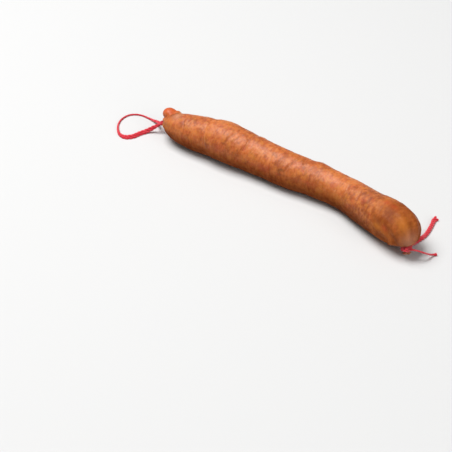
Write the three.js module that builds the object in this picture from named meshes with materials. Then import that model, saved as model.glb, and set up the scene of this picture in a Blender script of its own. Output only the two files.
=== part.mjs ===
// A whole cured sausage, tied off at both ends with thick red cotton twine.
// The meat in its casing is one solid: a bent, uneven roll with a long tapered end that carries
// a folded lobe, a blunt end that hooks down, and at each end a puckered neck and a short tail of casing.
// The twine at the tapered end is knotted into a hanging loop. The twine at the blunt end leaves two cut ends.
// Millimetres, +Z up, +X along the sausage from the tapered end to the blunt end, resting on z = 0.
import * as THREE from "three";
import { mergeVertices } from "three/addons/utils/BufferGeometryUtils.js";

// Sizes of the roll
const GIRTH = 34;            // diameter where nothing swells or narrows it
const HALF_LENGTH = 150;     // from the middle to each puckered neck, along the roll
const FLAT_DEPTH = 0.7;      // how much the resting side is pressed flat
const BOW = 9.5;             // how far the roll bows sideways between its ends
const CENTRE = [3.5, -5.2];  // place of the roll's middle, so that the origin is under the middle of its box

// Swellings and narrow places of the girth: where along the roll, how much on the diameter, how long
const SWELLS = [
  { at: -72, by: 4.6, over: 28 },
  { at: 52, by: -3.4, over: 40 },
  { at: 118, by: 3.4, over: 27 },
  { at: -91, by: -1.0, over: 4.5 },
  { at: -47, by: -1.0, over: 4.0 },
];

// Sideways bends on top of the bow: where, how far, over what length
const BENDS = [
  { at: 50, by: 7.2, over: 36 },
  { at: -60, by: -1.0, over: 26 },
  { at: -130, by: -3.6, over: 34 },
  { at: 150, by: -7.0, over: 34 },
];

// The two ends: length of the dome and how full it is, how far it turns down and sideways by its neck (degrees)
// and how late, how far it is lifted off the table and from where, and the tail of casing past its neck
const TAPERED = { dome: 46, full: 1.45, drop: 34, swing: 46, late: 4, lift: 1.2, liftFrom: 90, tail: 4.5 };
const BLUNT = { dome: 22, full: 2.75, drop: 66, swing: -28, late: 1.5, lift: 2.6, liftFrom: 80, tail: 2.6 };

// The tied necks
const NECK_RADIUS = 2.9;
const NECK_LENGTH = 5.8;
const TAIL_RADIUS = 4.1;
const TAIL_FOLDS = 5;
const TAIL_FOLD_DEPTH = 0.3; // share of the radius, at the tip
const PLEATS = 9;
const PLEAT_DEPTH = 0.17;    // share of the radius, at the neck
const PLEAT_REACH = 13;      // how far the pleats run out over the dome

// Lumps of fat and meat that push the casing out, and dents between them, spread by two irrational steps
const LUMPS = 64;
const LUMP_HEIGHT = 0.62;
const LUMP_SIZE = 8.5;
const STEP_ALONG = 0.6180339887;
const STEP_ROUND = 0.7548776662;

// Single forms: where along the roll, which way round it (degrees, 0 sideways, 90 up), how far they stand out
// and lean along it, how long and wide they are, and how steep their edge is
const FOLD_RIDGE = { at: -139.5, turn: 44, out: 3.3, lean: 0, long: 4.5, wide: 6.0, edge: 1 };
const FOLD_ROOT = { at: -146.5, turn: 110, out: 1.6, lean: -0.8, long: 2.6, wide: 4.0, edge: 1 };
const BACK_STEP = { at: 28, turn: 55, out: 1.3, lean: 0, long: 6.0, wide: 9.0, edge: 1 };
const END_CHEEK = { at: 147.5, turn: 216, out: 3.6, lean: 1.4, long: 4.5, wide: 10.0, edge: 1.4 };
const END_FLANGE = { at: 147.3, turn: 95, out: 1.0, lean: 1.6, long: 2.2, wide: 7.0, edge: 1.4 };
const FORMS = [FOLD_RIDGE, FOLD_ROOT, BACK_STEP, END_CHEEK, END_FLANGE];

// The lobe of casing folded over beside the hanging tie, an egg shape: where it springs from the middle line,
// how far its middle stands off it and leans along it, its half sizes, and how softly it meets the casing
const FOLDED_LOBE = { at: -141, turn: 82, off: 9.2, lean: -4.0, long: 7.1, wide: 6.4, tall: 5.7, blend: 1.2 };

// Twine
const TWINE = 2.6;           // diameter
const GAP = 0.35;            // between pieces that touch
const TWINE_SIDES = 8;
const TWINE_STEP = 5.5;      // length of each straight stretch
const WRAP_TURNS = 2;
const KNOT = { across: 2.9, along: 2.5, deep: 2.3 };

// Which way round its neck each knot sits (degrees in the tie's own frame)
const HANG_KNOT_TURN = 185;
const END_KNOT_TURN = 72;

// Routes of the loose twine over the table, from the roll's middle
const HANG_LOOP = [
  [-157.3, 1.1, 8.8],
  [-162, 4.2, 6.2],
  [-168.2, 7.6, 3.4],
  [-175, 9.4, 1.6],
  [-182.5, 9.9, 1.35],
  [-189.5, 9.4, 1.35],
  [-195.6, 6.8, 1.35],
  [-199.9, 1.2, 1.35],
  [-200.2, -8, 1.35],
  [-195.8, -18, 1.35],
  [-188.6, -26, 1.35],
  [-180.6, -31.2, 1.35],
  [-173.6, -31.4, 1.35],
  [-169, -26.5, 1.35],
  [-167.2, -18, 1.35],
  [-164.3, -10, 2.1],
  [-160.6, -5.2, 4.9],
  [-156.6, -2.3, 8.3],
];
const UPPER_TAIL = [
  [142.1, -1.6, 6.6],
  [141.8, 2, 4.9],
  [141, 5.8, 3],
  [140.3, 9.8, 1.6],
  [140.2, 14, 1.35],
  [140.7, 18.4, 1.35],
  [140.9, 22.8, 1.35],
  [139.9, 29, 1.35],
  [137.9, 36.5, 1.35],
  [135.6, 43.6, 1.35],
  [134, 48.4, 1.35],
  [134.6, 52, 1.35],
];
const LOWER_TAIL = [
  [149.2, -13.3, 10.9],
  [153.8, -10.8, 10.9],
  [158.1, -7.1, 8.7],
  [160.7, -1.5, 5.2],
  [162, 4.2, 2.1],
  [163.8, 7.3, 1.35],
];

const { cos, sin, exp, sqrt, atan, atan2, abs, max, min, PI } = Math;
const radians = (degrees) => (degrees * PI) / 180;
const clamp01 = (t) => min(1, max(0, t));
const smooth = (t) => t * t * (3 - 2 * t);
const bell = (x, { at, by, over }) => by * exp(-(((x - at) / over) ** 2));
const sumOf = (list, x) => list.reduce((sum, entry) => sum + bell(x, entry), 0);
const endOf = (s) => (s < 0 ? TAPERED : BLUNT);
const wayOf = (s) => (s < 0 ? -1 : 1);

// Girth, lift off the table, and the middle line's sideways place and height, at x from the middle
const fullRadius = (x) => (GIRTH + sumOf(SWELLS, x)) / 2;
const sidewaysAt = (x) => BOW * cos((PI * x) / (2 * HALF_LENGTH)) + sumOf(BENDS, x);
const heightAt = (x) => fullRadius(x) + liftAt(x) - FLAT_DEPTH;

function liftAt(x) {
  const { lift, liftFrom } = endOf(x);
  return lift * smooth(clamp01((abs(x) - liftFrom) / (HALF_LENGTH - liftFrom)));
}

// 0 where an end's dome begins, 1 at its neck and past it
const domeShare = (s) => clamp01(1 - (HALF_LENGTH - abs(s)) / endOf(s).dome);

// The way the middle line heads at s along it, as the axes of its section there
function axesAt(s, x) {
  const { swing, drop, late } = endOf(s);
  const turned = wayOf(s) * domeShare(s) ** late;
  const probe = 0.5;
  const slope = (line) => atan((line(x + probe) - line(x - probe)) / (2 * probe));
  const yaw = slope(sidewaysAt) + radians(swing) * turned;
  const pitch = slope(heightAt) - radians(drop) * turned;
  return {
    out: [cos(pitch) * cos(yaw), cos(pitch) * sin(yaw), sin(pitch)],
    side: [-sin(yaw), cos(yaw), 0],
    up: [-sin(pitch) * cos(yaw), -sin(pitch) * sin(yaw), cos(pitch)],
  };
}

// The middle line, walked from the middle of the roll towards one end in small steps
const WALK_STEP = 0.1;
const tipOf = (end) => HALF_LENGTH + NECK_LENGTH + end.tail;

function walk(way) {
  const stations = [];
  const place = [0, sidewaysAt(0), heightAt(0)];
  for (let i = 0; i * WALK_STEP <= tipOf(endOf(way)) + WALK_STEP; i++) {
    const here = { place: [...place], ...axesAt(way * i * WALK_STEP, place[0]) };
    stations.push(here);
    here.out.forEach((step, k) => (place[k] += way * WALK_STEP * step));
  }
  return stations;
}

const walked = new Map([-1, 1].map((way) => [way, walk(way)]));
const stationAt = (s) => walked.get(wayOf(s))[Math.round(abs(s) / WALK_STEP)];
const fromMiddle = ([x, y, z]) => [x + CENTRE[0], y + CENTRE[1], z];

// Radius of the roll at s: its girth, the dome of an end, the neck and the tail of casing
function radiusAt(s) {
  const { full, tail } = endOf(s);
  const past = abs(s) - HALF_LENGTH;
  if (past <= 0) {
    const rounded = sqrt(1 - domeShare(s) ** full);
    return NECK_RADIUS + (fullRadius(stationAt(s).place[0]) - NECK_RADIUS) * rounded;
  }
  if (past <= NECK_LENGTH) return NECK_RADIUS;
  const share = (past - NECK_LENGTH) / tail;
  const flared = NECK_RADIUS + (TAIL_RADIUS - NECK_RADIUS) * smooth(clamp01(share / 0.7));
  const closed = sqrt(max(0, 1 - clamp01((share - 0.7) / 0.3) ** 2));
  return flared * (0.35 + 0.65 * closed);
}

const angleBetween = (a, b) => atan2(sin(a - b), cos(a - b));

const lumps = Array.from({ length: LUMPS }, (_, i) => ({
  s: (((0.5 + i * STEP_ALONG) % 1) * 2 - 1) * (HALF_LENGTH - 12),
  turn: 2 * PI * ((i * STEP_ROUND) % 1),
  height: LUMP_HEIGHT * (i % 3 === 2 ? -0.8 : 0.6 + 0.5 * ((i * STEP_ALONG * 7) % 1)),
  size: LUMP_SIZE * (0.75 + 0.6 * ((i * STEP_ROUND * 5) % 1)),
}));

function lumpsAt(s, turn, radius) {
  return lumps.reduce((sum, lump) => {
    const along = (s - lump.s) / lump.size;
    const across = (angleBetween(turn, lump.turn) * radius) / lump.size;
    return sum + lump.height * exp(-along * along - across * across);
  }, 0);
}

// How strongly a single form acts on a point, from 1 at its middle to 0 beyond its edge
function formShare(s, turn, radius, { at, turn: middle, long, wide, edge }) {
  const along = (s - at) / long;
  const across = (angleBetween(turn, radians(middle)) * max(radius, 6)) / wide;
  return exp(-((along * along + across * across) ** edge));
}

// Puckers that gather at a neck and open into the folds of its tail of casing, as a share of the radius
function pleatsAt(s, turn) {
  const past = abs(s) - HALF_LENGTH;
  if (past <= NECK_LENGTH) {
    const strength = exp(-((max(0, -past) / PLEAT_REACH) ** 1.3));
    return -PLEAT_DEPTH * strength * (0.5 + 0.5 * cos(PLEATS * turn + 0.6 * sin(2 * turn)));
  }
  const opened = smooth(clamp01((past - NECK_LENGTH) / endOf(s).tail));
  return -PLEAT_DEPTH + opened * TAIL_FOLD_DEPTH * cos(TAIL_FOLDS * turn);
}

// A point of the casing, pushed out to the folded lobe where the lobe stands proud of it
function lobed(point, s) {
  const { at, turn, off, lean, long, wide, tall, blend } = FOLDED_LOBE;
  if (abs(s - at) > 3 * long) return point;
  const root = stationAt(at);
  const along = new THREE.Vector3(...root.out);
  const spoke = new THREE.Vector3(...root.side).multiplyScalar(cos(radians(turn)));
  spoke.addScaledVector(new THREE.Vector3(...root.up), sin(radians(turn)));
  const across = spoke.clone().cross(along);
  const squash = new THREE.Matrix3().set(...along.toArray(), ...across.toArray(), ...spoke.toArray());
  squash.premultiply(new THREE.Matrix3().set(1 / long, 0, 0, 0, 1 / wide, 0, 0, 0, 1 / tall));
  const away = new THREE.Vector3(...point).sub(new THREE.Vector3(...root.place));
  const reach = away.length();
  away.normalize();
  const ray = away.clone().applyMatrix3(squash);
  const start = spoke.multiplyScalar(-off).addScaledVector(along, -lean).applyMatrix3(squash);
  const a = ray.lengthSq();
  const b = ray.dot(start);
  const inside = b * b - a * (start.lengthSq() - 1);
  const hit = inside > 0 ? (sqrt(inside) - b) / a : 0;
  const apart = hit - reach;
  const soft = 0.5 * (apart + sqrt(apart * apart + blend * blend));
  const push = soft * smooth(clamp01((apart + 3 * blend) / (3 * blend)));
  return point.map((p, k) => p + push * away.getComponent(k));
}

// The point of the casing at s along the roll and turn round it
function casingPoint(s, turn) {
  const { place, out, side, up } = stationAt(s);
  const radius = radiusAt(s);
  const bodily = 1 - domeShare(s) ** 4;
  let reach = radius * (1 + pleatsAt(s, turn)) + bodily * lumpsAt(s, turn, radius);
  let lean = 0;
  if (abs(s) < HALF_LENGTH) {
    for (const form of FORMS) {
      const share = formShare(s, turn, radius, form);
      reach += share * form.out;
      lean += share * form.lean;
    }
  }
  const point = place.map(
    (p, k) => p + reach * (cos(turn) * side[k] + sin(turn) * up[k]) + lean * out[k],
  );
  const [x, y, z] = lobed(point, s);
  return fromMiddle([x, y, max(0, z)]);
}

// Rings of points along the roll: even on the body, closer together towards each neck
const AROUND = 36;
const BODY_STEP = 3.4;
const DOME_STEP = 1.9;
const NECK_STEP = 1.5;
const DOME_EASE = 1.5;

function placesBetween(from, to, step, ease = 1) {
  const count = Math.ceil((to - from) / step);
  return Array.from({ length: count }, (_, k) => to - (to - from) * ((count - k) / count) ** ease);
}

function ringPlaces(end) {
  const dome = HALF_LENGTH - end.dome;
  const neck = HALF_LENGTH + NECK_LENGTH;
  return [
    ...placesBetween(BODY_STEP / 2, dome, BODY_STEP),
    ...placesBetween(dome, HALF_LENGTH, DOME_STEP, DOME_EASE),
    ...placesBetween(HALF_LENGTH, neck, NECK_STEP),
    ...placesBetween(neck, tipOf(end), NECK_STEP / 2),
    tipOf(end),
  ];
}

function meatInCasing() {
  const rings = [...ringPlaces(TAPERED).reverse().map((s) => -s), ...ringPlaces(BLUNT)];
  const turns = Array.from({ length: AROUND }, (_, j) => (2 * PI * j) / AROUND);
  const points = rings.flatMap((s) => turns.flatMap((turn) => casingPoint(s, turn)));
  const faces = [];
  const at = (i, j) => i * AROUND + (j % AROUND);
  const last = rings.length - 1;
  for (let i = 0; i < last; i++) {
    for (let j = 0; j < AROUND; j++) {
      faces.push(at(i, j), at(i, j + 1), at(i + 1, j + 1));
      faces.push(at(i, j), at(i + 1, j + 1), at(i + 1, j));
    }
  }
  const firstTip = rings.length * AROUND;
  points.push(...fromMiddle(stationAt(rings[0]).place), ...fromMiddle(stationAt(rings[last]).place));
  for (let j = 0; j < AROUND; j++) {
    faces.push(firstTip, at(0, j + 1), at(0, j));
    faces.push(firstTip + 1, at(last, j), at(last, j + 1));
  }
  const solid = new THREE.BufferGeometry();
  solid.setAttribute("position", new THREE.Float32BufferAttribute(points, 3));
  solid.setIndex(faces);
  solid.computeVertexNormals();
  return solid;
}

// A tie's own frame: its middle on the neck, its Y axis along the neck outwards
function tieFrame(way) {
  const { place, out, up } = stationAt(way * (HALF_LENGTH + NECK_LENGTH / 2));
  const along = new THREE.Vector3(...out).multiplyScalar(way);
  const above = new THREE.Vector3(...up);
  const side = new THREE.Vector3().crossVectors(along, above);
  const frame = new THREE.Group();
  frame.applyMatrix4(new THREE.Matrix4().makeBasis(side, along, above).setPosition(...fromMiddle(place)));
  return frame;
}

// Turns of twine round a neck, side by side, as one ring
function wrapRing() {
  const inner = NECK_RADIUS + GAP;
  const facets = 5;
  const opening = 68;
  const profile = [];
  for (let turn = 0; turn < WRAP_TURNS; turn++) {
    const level = (turn - (WRAP_TURNS - 1) / 2) * TWINE;
    for (let k = 0; k <= facets; k++) {
      const angle = radians(opening * ((2 * k) / facets - 1));
      profile.push([inner + (TWINE / 2) * (1 + cos(angle)), level + (TWINE / 2) * sin(angle)]);
    }
  }
  const half = (WRAP_TURNS * TWINE) / 2 - TWINE / 4;
  profile.push([inner, half], [inner, -half], profile[0]);
  const ring = new THREE.LatheGeometry(profile.map(([r, y]) => new THREE.Vector2(r, y)), 20);
  ring.deleteAttribute("normal");
  ring.deleteAttribute("uv");
  return mergeVertices(ring, 1e-3);
}

// A tight knot that sits on the ring, its thin side towards the neck
function knotOn(turn) {
  const knot = new THREE.SphereGeometry(1, 12, 9);
  knot.scale(KNOT.deep, KNOT.along, KNOT.across);
  knot.translate(NECK_RADIUS + GAP + TWINE + GAP + KNOT.deep, 0, 0);
  knot.rotateY(-radians(turn));
  return knot;
}

// A plain tube of twine along a route
function twineTube(route) {
  const points = route.map((point) => new THREE.Vector3(...fromMiddle(point)));
  const path = new THREE.CatmullRomCurve3(points, false, "centripetal");
  const section = new THREE.Shape(
    Array.from({ length: TWINE_SIDES }, (_, k) => {
      const angle = (2 * PI * k) / TWINE_SIDES;
      return new THREE.Vector2((TWINE / 2) * cos(angle), (TWINE / 2) * sin(angle));
    }),
  );
  const steps = Math.ceil(path.getLength() / TWINE_STEP);
  return new THREE.ExtrudeGeometry(section, { steps, bevelEnabled: false, extrudePath: path });
}

const casing = new THREE.MeshStandardMaterial({ name: "casing", color: 0xb4683c, roughness: 0.48 });
const twine = new THREE.MeshStandardMaterial({ name: "twine", color: 0xd2293f, roughness: 0.9 });

function piece(name, geometry, material) {
  const mesh = new THREE.Mesh(geometry, material.clone());
  mesh.name = name;
  return mesh;
}

const hangTie = tieFrame(-1);
hangTie.add(piece("hang_wrap", wrapRing(), twine));
hangTie.add(piece("hang_knot", knotOn(HANG_KNOT_TURN), twine));

const endTie = tieFrame(1);
endTie.add(piece("end_wrap", wrapRing(), twine));
endTie.add(piece("end_knot", knotOn(END_KNOT_TURN), twine));

const wholeSausage = new THREE.Group();
wholeSausage.add(piece("cured_sausage", meatInCasing(), casing));
wholeSausage.add(hangTie, endTie);
wholeSausage.add(piece("hang_loop", twineTube(HANG_LOOP), twine));
wholeSausage.add(piece("end_tail_upper", twineTube(UPPER_TAIL), twine));
wholeSausage.add(piece("end_tail_lower", twineTube(LOWER_TAIL), twine));

export default wholeSausage;
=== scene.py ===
"""A whole cured sausage in its casing, tied at both ends with red cotton twine.

The file is laid out as an add-on: sizes and colours are properties, each group of pieces has its operator,
and main() calls them in order. Lengths in the tables below are millimetres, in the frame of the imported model:
+Z up, +X along the sausage from the tapered end to the blunt end, resting on z = 0.
"""

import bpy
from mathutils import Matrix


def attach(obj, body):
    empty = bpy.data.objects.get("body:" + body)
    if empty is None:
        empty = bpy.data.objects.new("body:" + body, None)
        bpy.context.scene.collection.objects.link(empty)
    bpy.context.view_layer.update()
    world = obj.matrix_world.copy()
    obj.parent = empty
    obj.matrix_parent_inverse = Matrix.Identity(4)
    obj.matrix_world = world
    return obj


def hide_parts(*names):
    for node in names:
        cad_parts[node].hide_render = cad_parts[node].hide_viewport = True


bl_info = {
    "name": "Cured sausage",
    "version": (1, 0, 0),
    "blender": (4, 5, 0),
    "location": "3D View > Sidebar > Sausage",
    "description": "Casing, twine ties, hanging loop and studio for a whole cured sausage",
    "category": "Object",
}

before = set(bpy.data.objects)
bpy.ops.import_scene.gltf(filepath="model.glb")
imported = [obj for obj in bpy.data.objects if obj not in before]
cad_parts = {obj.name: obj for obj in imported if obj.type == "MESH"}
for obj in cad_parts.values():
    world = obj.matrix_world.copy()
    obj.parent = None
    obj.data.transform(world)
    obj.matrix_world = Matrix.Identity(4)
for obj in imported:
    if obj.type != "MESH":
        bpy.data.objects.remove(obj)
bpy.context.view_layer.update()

import math
from collections import namedtuple
from functools import reduce

import bpy
import numpy as np
from mathutils import Matrix, Vector

BODY = "root"
MM = 0.001
TURN = 2 * math.pi

# Sizes of the roll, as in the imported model
GIRTH = 34
HALF_LENGTH = 150
WALK_STEP = 0.1  # between the places worked out on its middle line
WALK_MARGIN = 1.001  # how many steps before their end the last place may be looked up
FLAT_DEPTH = 0.7
BOW = 9.5
CENTRE = np.array([3.5, -5.2, 0.0])

# A rise of the girth or of the middle line: where it is highest, by how much, over what length
Bell = namedtuple("Bell", "at by over")
SWELLS = (
    Bell(-91, -1.0, 4.5),
    Bell(-72, 4.6, 28),
    Bell(-47, -1.0, 4.0),
    Bell(52, -3.4, 40),
    Bell(118, 3.4, 27),
)
BENDS = (
    Bell(-130, -3.6, 34),
    Bell(-60, -1.0, 26),
    Bell(50, 7.2, 36),
    Bell(150, -7.0, 34),
)

# How an end closes: the length of its dome and how full it is, how many degrees it drops and swings and how
# late, how high it lifts and from where, and the length of its tail of casing
End = namedtuple("End", "dome full drop swing late lift lift_from tail")
TAPERED = End(46, 1.45, 34, 46, 4, 1.2, 90, 4.5)
BLUNT = End(22, 2.75, 66, -28, 1.5, 2.6, 80, 2.6)

NECK_RADIUS = 2.9
NECK_LENGTH = 5.8
TAIL_RADIUS = 4.1
TAIL_OPEN = 0.7  # the share of a tail that it takes to open to its full radius
TAIL_TIP = 0.35  # the share of its radius that is left at its cut tip
TAIL_FOLDS = 5
TAIL_FOLD_DEPTH = 0.3
PLEATS = 9
PLEAT_DEPTH = 0.17
PLEAT_REACH = 13
PLEAT_FADE = 1.3
PLEAT_UNEVEN = 0.6

LUMPS = 64
LUMP_HEIGHT = 0.62
LUMP_SIZE = 8.5
LUMP_MARGIN = 12  # how far from each tie the lumps stop
LUMP_TALL = (0.6, 0.5)  # the lowest lump's share of the height, and how much more the highest has
LUMP_WIDE = (0.75, 0.6)
DENT = -0.8  # every third one is a dent, with this share of the height
LUMPS_FADE = 4  # how suddenly the lumps give way to a dome
STEP_ALONG = 0.6180339887
STEP_ROUND = 0.7548776662
STEP_TALL = 7 * STEP_ALONG
STEP_WIDE = 5 * STEP_ROUND

# Single forms: where along the roll, which way round it in degrees, how far they push out and along, how long
# and wide they are, and how sharp their edge is
Form = namedtuple("Form", "at turn out lean long wide edge")
FOLD_RIDGE = Form(-139.5, 44, 3.3, 0, 4.5, 6.0, 1)
FOLD_ROOT = Form(-146.5, 110, 1.6, -0.8, 2.6, 4.0, 1)
BACK_STEP = Form(28, 55, 1.3, 0, 6.0, 9.0, 1)
END_CHEEK = Form(147.5, 216, 3.6, 1.4, 4.8, 10.0, 1.0)
END_FLANGE = Form(147.3, 95, 1.0, 1.6, 2.2, 7.0, 1.4)
DIMPLE = Form(-1, 158, -0.9, 0, 1.3, 1.3, 1)
DIMPLE_RIM = Form(-1, 158, 0.45, 0, 2.6, 2.6, 1)
FORMS = (FOLD_RIDGE, FOLD_ROOT, BACK_STEP, END_CHEEK, END_FLANGE, DIMPLE, DIMPLE_RIM)
THINNEST = 6  # forms and spots keep their width where the roll is thinner than this

# The lobe of casing folded over beside the hanging tie, an egg: where, which way round, how far its middle is
# off the middle line and along it, its half sizes, and how softly it meets the casing
Lobe = namedtuple("Lobe", "at turn off lean long wide tall blend")
FOLDED_LOBE = Lobe(-141, 82, 9.2, -4.0, 7.1, 6.4, 5.7, 2.0)
LOBE_REACH = 3  # how many of its lengths, or of its blends, the lobe is felt over

# Creases pressed into the casing: where, which way round, how far round in degrees, slant along, depth, width
Crease = namedtuple("Crease", "at turn reach slant depth width")
CREASES = (
    Crease(-120, 110, 45, 7, 0.40, 1.0),
    Crease(-91, 130, 60, 5, 0.45, 1.1),
    Crease(-81, 158, 30, -7, 0.35, 1.0),
    Crease(-64.5, 132, 34, -6.4, 0.75, 1.8),
    Crease(-57, 118, 26, -7, 0.45, 1.3),
    Crease(-45, 122, 30, -5, 0.30, 2.2),
    Crease(-38, 136, 16, -4, 0.40, 0.8),
    Crease(-15, 140, 62, 4, 0.45, 1.0),
    Crease(-7, 126, 26, -5, 0.40, 1.5),
    Crease(4, 128, 34, -5, 0.60, 1.7),
    Crease(14, 96, 30, 6, 0.45, 1.0),
    Crease(27, 75, 40, 6, 0.35, 1.0),
    Crease(59, 140, 30, 6, 0.30, 1.1),
    Crease(72, 128, 28, 5, 0.35, 1.0),
    Crease(88, 120, 30, 6, 0.30, 1.1),
    Crease(119, 118, 22, 5, 0.35, 0.9),
    Crease(-45, 320, 50, 6, 0.40, 1.0),
    Crease(60, 10, 50, -6, 0.40, 1.0),
    Crease(112, 330, 40, 5, 0.35, 1.0),
)
CREASE_FADE = 4  # how suddenly a crease ends
LIP_HEIGHT = 0.35  # a crease's lips, as a share of its depth
LIP_WIDTH = 2.6  # and of its width

# The darker ring in the casing's colour round the dimple
RING_RADIUS = 2.3
RING_WIDTH = 1.2
RING_OVAL = 1.3  # how much longer it is along the roll
RING_BOLD = -2.2  # the way that its darkest part lies, in radians
RING_FAINT = 0.24  # how strong its faintest part is

# Stains that show through the casing, and painted shadow, each as a soft spot: where, which way round, how long
# and wide
Spot = namedtuple("Spot", "at turn long wide")
OCHRE_SPOTS = (
    Spot(-136, 146, 6, 6),
    Spot(-133, 70, 4, 6),
    Spot(-32.5, 150, 3.0, 3.0),
    Spot(66, 166, 13, 4),
    Spot(124, 170, 8, 4),
    Spot(139, 108, 5, 5),
    Spot(-100, 20, 9, 7),
    Spot(15, 330, 8, 6),
    Spot(90, 30, 10, 6),
)
RUDDY_SPOTS = (
    Spot(-70, 165, 5, 4),
    Spot(118, 96, 4, 3),
    Spot(126, 94, 4, 3),
    Spot(131.8, 162, 4, 2.6),
    Spot(-20, 170, 7, 4),
    Spot(-60, 350, 8, 6),
    Spot(40, 20, 9, 6),
)
VEIL_SPOTS = (
    Spot(147, 95, 3.5, 9),
    Spot(-130, 100, 4, 5),
    Spot(150, 216, 3, 8),
)
FLUSH_SPOTS = (
    Spot(-141.5, 84, 5, 6),
    Spot(-143, 100, 3.5, 4),
)
# Painted shadow in the crease under the folded lobe
LOBE_SHADOW_SPOTS = (
    Spot(-135.2, 96, 1.6, 3.2),
    Spot(-134.5, 80, 1.6, 3.0),
)

# The relief of the casing, in metres
GRAIN_DEPTH = 0.0005
GRAIN_SIZE = 0.0066
WRINKLE_DEPTH = 0.00009
WRINKLE_LENGTH = 0.0085
WRINKLE_WIDTH = 0.0019

# Where the casing changes round its height, and past the ties
UNDER_HEIGHT = 29.0  # above this, none of the painted shade that darkens the underside
PRESSED_HEIGHT = 0.2  # below this, no relief is left
FREE_HEIGHT = 2.2  # above this, the relief is full
TIE_DRY = (2, 4)  # how far before a tie the casing begins to dry, and over what length
SLACK_LATE = 1.5  # how late over a dome the casing is slack enough to wrinkle everywhere

# Twine and its ties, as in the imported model
TWINE = 2.6
GAP = 0.35
KNOT_SIZE = (2.9, 2.5, 2.3)
KNOT_PULL = 1.35  # how far a knot is pulled down onto the turns under it
KNOT_REACH = NECK_RADIUS + GAP + TWINE + GAP + KNOT_SIZE[2] - KNOT_PULL
KNOT_TWINE = 0.85  # the thickness of twine pulled tight in a knot, as a share
KNOT_SLACK = 0.4 * TWINE
KNOT_POINTS = 48
TIE_TURNS = 2.15
TIE_POINTS = 72
TIE_SPACING = 1.12 * TWINE
TIE_WANDER = 0.15
TIE_LEAVING = 0.04  # the last share of the turns at both ends, which rise to the knot
TIE_RISE = 2.2
HANG_KNOT_TURN = 185
END_KNOT_TURN = 72
KNOT_STEP = 0.4  # between the places on a knot's path
TIE_LOOSE = 0.9
TAPERED_SEED = 21
BLUNT_SEED = 31
PATH_EVERY = 3  # how many places of a run go to one point of the path worked out for it

# How loose the plies are at each point of a route, with the point inside the knot that it leaves from
HANG_LOOSE = (
    1.1, 1.4, 1.5, 1.3, 1.0, 0.7, 0.6, 0.6, 0.6, 0.6,
    0.7, 1.0, 1.5, 2.0, 2.1, 2.1, 2.1, 1.9, 1.5, 1.2,
)
UPPER_LOOSE = (0.8, 1.0, 1.3, 1.6, 1.7, 1.8, 1.8, 1.7, 1.7, 1.7, 1.7, 1.9, 2.1)
LOWER_LOOSE = (0.8, 0.8, 0.6, 0.5, 0.55, 0.7, 1.2)

# The routes of the loose lengths
HANG_LOOP = (
    (-157.3, 1.1, 8.8),
    (-162, 4.2, 6.2),
    (-168.2, 7.6, 3.4),
    (-175, 9.4, 1.6),
    (-182.5, 9.9, 1.35),
    (-189.5, 9.4, 1.35),
    (-195.6, 6.8, 1.35),
    (-199.9, 1.2, 1.35),
    (-200.2, -8, 1.35),
    (-195.8, -18, 1.35),
    (-188.6, -26, 1.35),
    (-180.6, -31.2, 1.35),
    (-173.6, -31.4, 1.35),
    (-169, -26.5, 1.35),
    (-167.2, -18, 1.35),
    (-164.3, -10, 2.1),
    (-160.6, -5.2, 4.9),
    (-156.6, -2.3, 8.3),
)
UPPER_TAIL = (
    (142.1, -1.6, 6.6),
    (141.8, 2, 4.9),
    (141, 5.8, 3),
    (140.3, 9.8, 1.6),
    (140.2, 14, 1.35),
    (140.7, 18.4, 1.35),
    (140.9, 22.8, 1.35),
    (139.9, 29, 1.35),
    (137.9, 36.5, 1.35),
    (135.6, 43.6, 1.35),
    (134, 48.4, 1.35),
    (134.6, 52, 1.35),
)
LOWER_TAIL = (
    (149.2, -13.3, 10.9),
    (153.8, -10.8, 10.9),
    (158.1, -7.1, 8.7),
    (160.7, -1.5, 5.2),
    (162, 4.2, 2.1),
    (163.8, 7.3, 1.35),
)

# How the plies fill the twine, as shares of its diameter: how far they stand off its middle where it is
# loose, how thick each is where it is tight, and how much it swells where it is loose
PLIES_APART = 0.17
PLY_TIGHT = 0.14
PLY_SWELL = 0.125
FLATNESS = 0.35  # how flat loose twine lies
FLAT_FROM = 0.4  # the looseness from which it begins to

# The way that the broad side of the loose twine faces: up and a little towards the front
FACING = (0.45, -0.55, 0.7)

# Twine lower than this lies on the table, or nearly
LIFTED = 3 * TWINE

# Camera of the photograph's view
VIEW_AZIMUTH = 40.5
VIEW_ELEVATION = 36.0
VIEW_DISTANCE = 1.25
VIEW_AIM = (-0.0002, -0.0836, 0.0)
VIEW_LENS = 111.24
SENSOR_WIDTH = 36.0
CLIP_END = 50.0


def clamp01(t):
    return np.clip(t, 0.0, 1.0)


def smooth(t):
    return t * t * (3 - 2 * t)


def sum_of(bells, x):
    return sum(bell.by * np.exp(-(((x - bell.at) / bell.over) ** 2)) for bell in bells)


def end_of(s):
    return TAPERED if s < 0 else BLUNT


def way_of(s):
    return -1 if s < 0 else 1


def full_radius(x):
    return (GIRTH + sum_of(SWELLS, x)) / 2


def sideways_at(x):
    return BOW * np.cos(math.pi * x / (2 * HALF_LENGTH)) + sum_of(BENDS, x)


def lift_at(x):
    end = end_of(x)
    return end.lift * smooth(clamp01((abs(x) - end.lift_from) / (HALF_LENGTH - end.lift_from)))


def height_at(x):
    return full_radius(x) + lift_at(x) - FLAT_DEPTH


def dome_share(s):
    """0 where an end's dome begins, 1 at its neck and past it."""
    return float(clamp01(1 - (HALF_LENGTH - abs(s)) / end_of(s).dome))


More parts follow.
